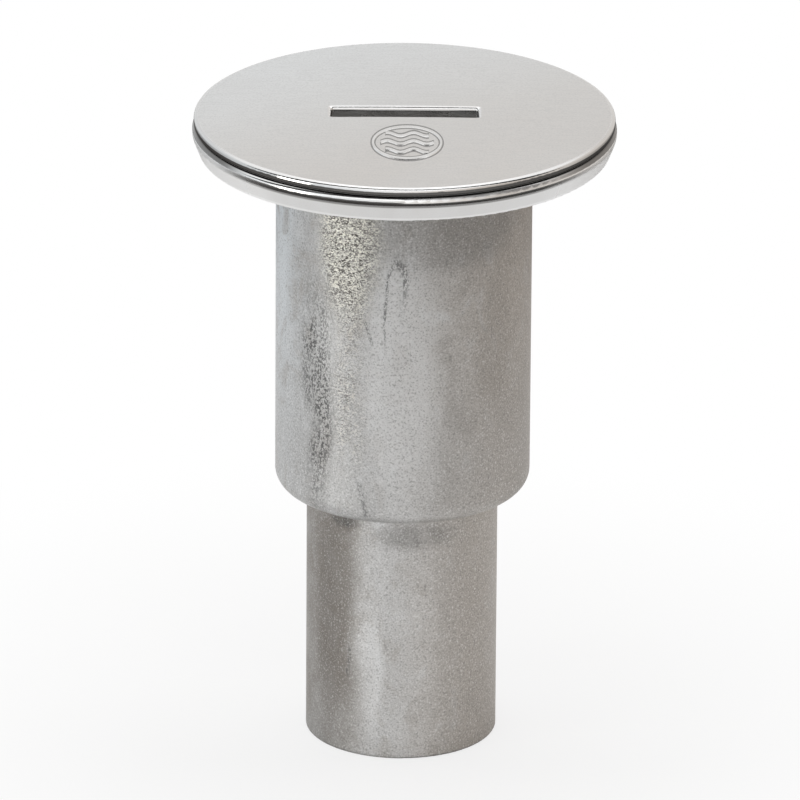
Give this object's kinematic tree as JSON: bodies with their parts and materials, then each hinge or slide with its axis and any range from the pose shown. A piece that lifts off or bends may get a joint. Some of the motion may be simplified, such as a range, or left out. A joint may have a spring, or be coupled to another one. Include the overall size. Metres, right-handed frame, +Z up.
{
  "type": "waste deck fitting",
  "caption": "Round stainless deck fitting for a waste pump-out hose: slotted screw cap over a flange with hidden screws, a barrel, a rounded shoulder and a narrower hose tail.",
  "frame": {"origin": "on the fitting's axis, in the flat underside of the flange that lies on the deck", "axes": "+Z up out of the deck along the barrel's axis, X along the key slot of the closed cap, -Y towards the viewer of the picture"},
  "size_m": [0.0838, 0.0838, 0.131],
  "materials": {
    "casting": "matt cast surface on barrel and tail, polished on the flange's edge",
    "cap": "satin face with a polished edge",
    "seal": "smooth black rubber"
  },
  "bodies": {
    "fitting": {"body": "casting"},
    "seal_carrier": {"cap_seal": "seal"},
    "cap": {"cap": "cap"}
  },
  "joints": [
    {"name": "cap_rise", "type": "slide", "parent": "fitting", "child": "seal_carrier", "axis": [0, 0, 1], "range_m": [0, 0.01617]},
    {"name": "cap_turn", "type": "hinge", "parent": "seal_carrier", "child": "cap", "pos_m": [0, 0, 0], "axis": [0, 0, 1], "range_deg": [0, 2520]}
  ],
  "couplings": [
    {"joint": "cap_rise", "follows": "cap_turn", "m_per_rad": 0.00036749}
  ]
}
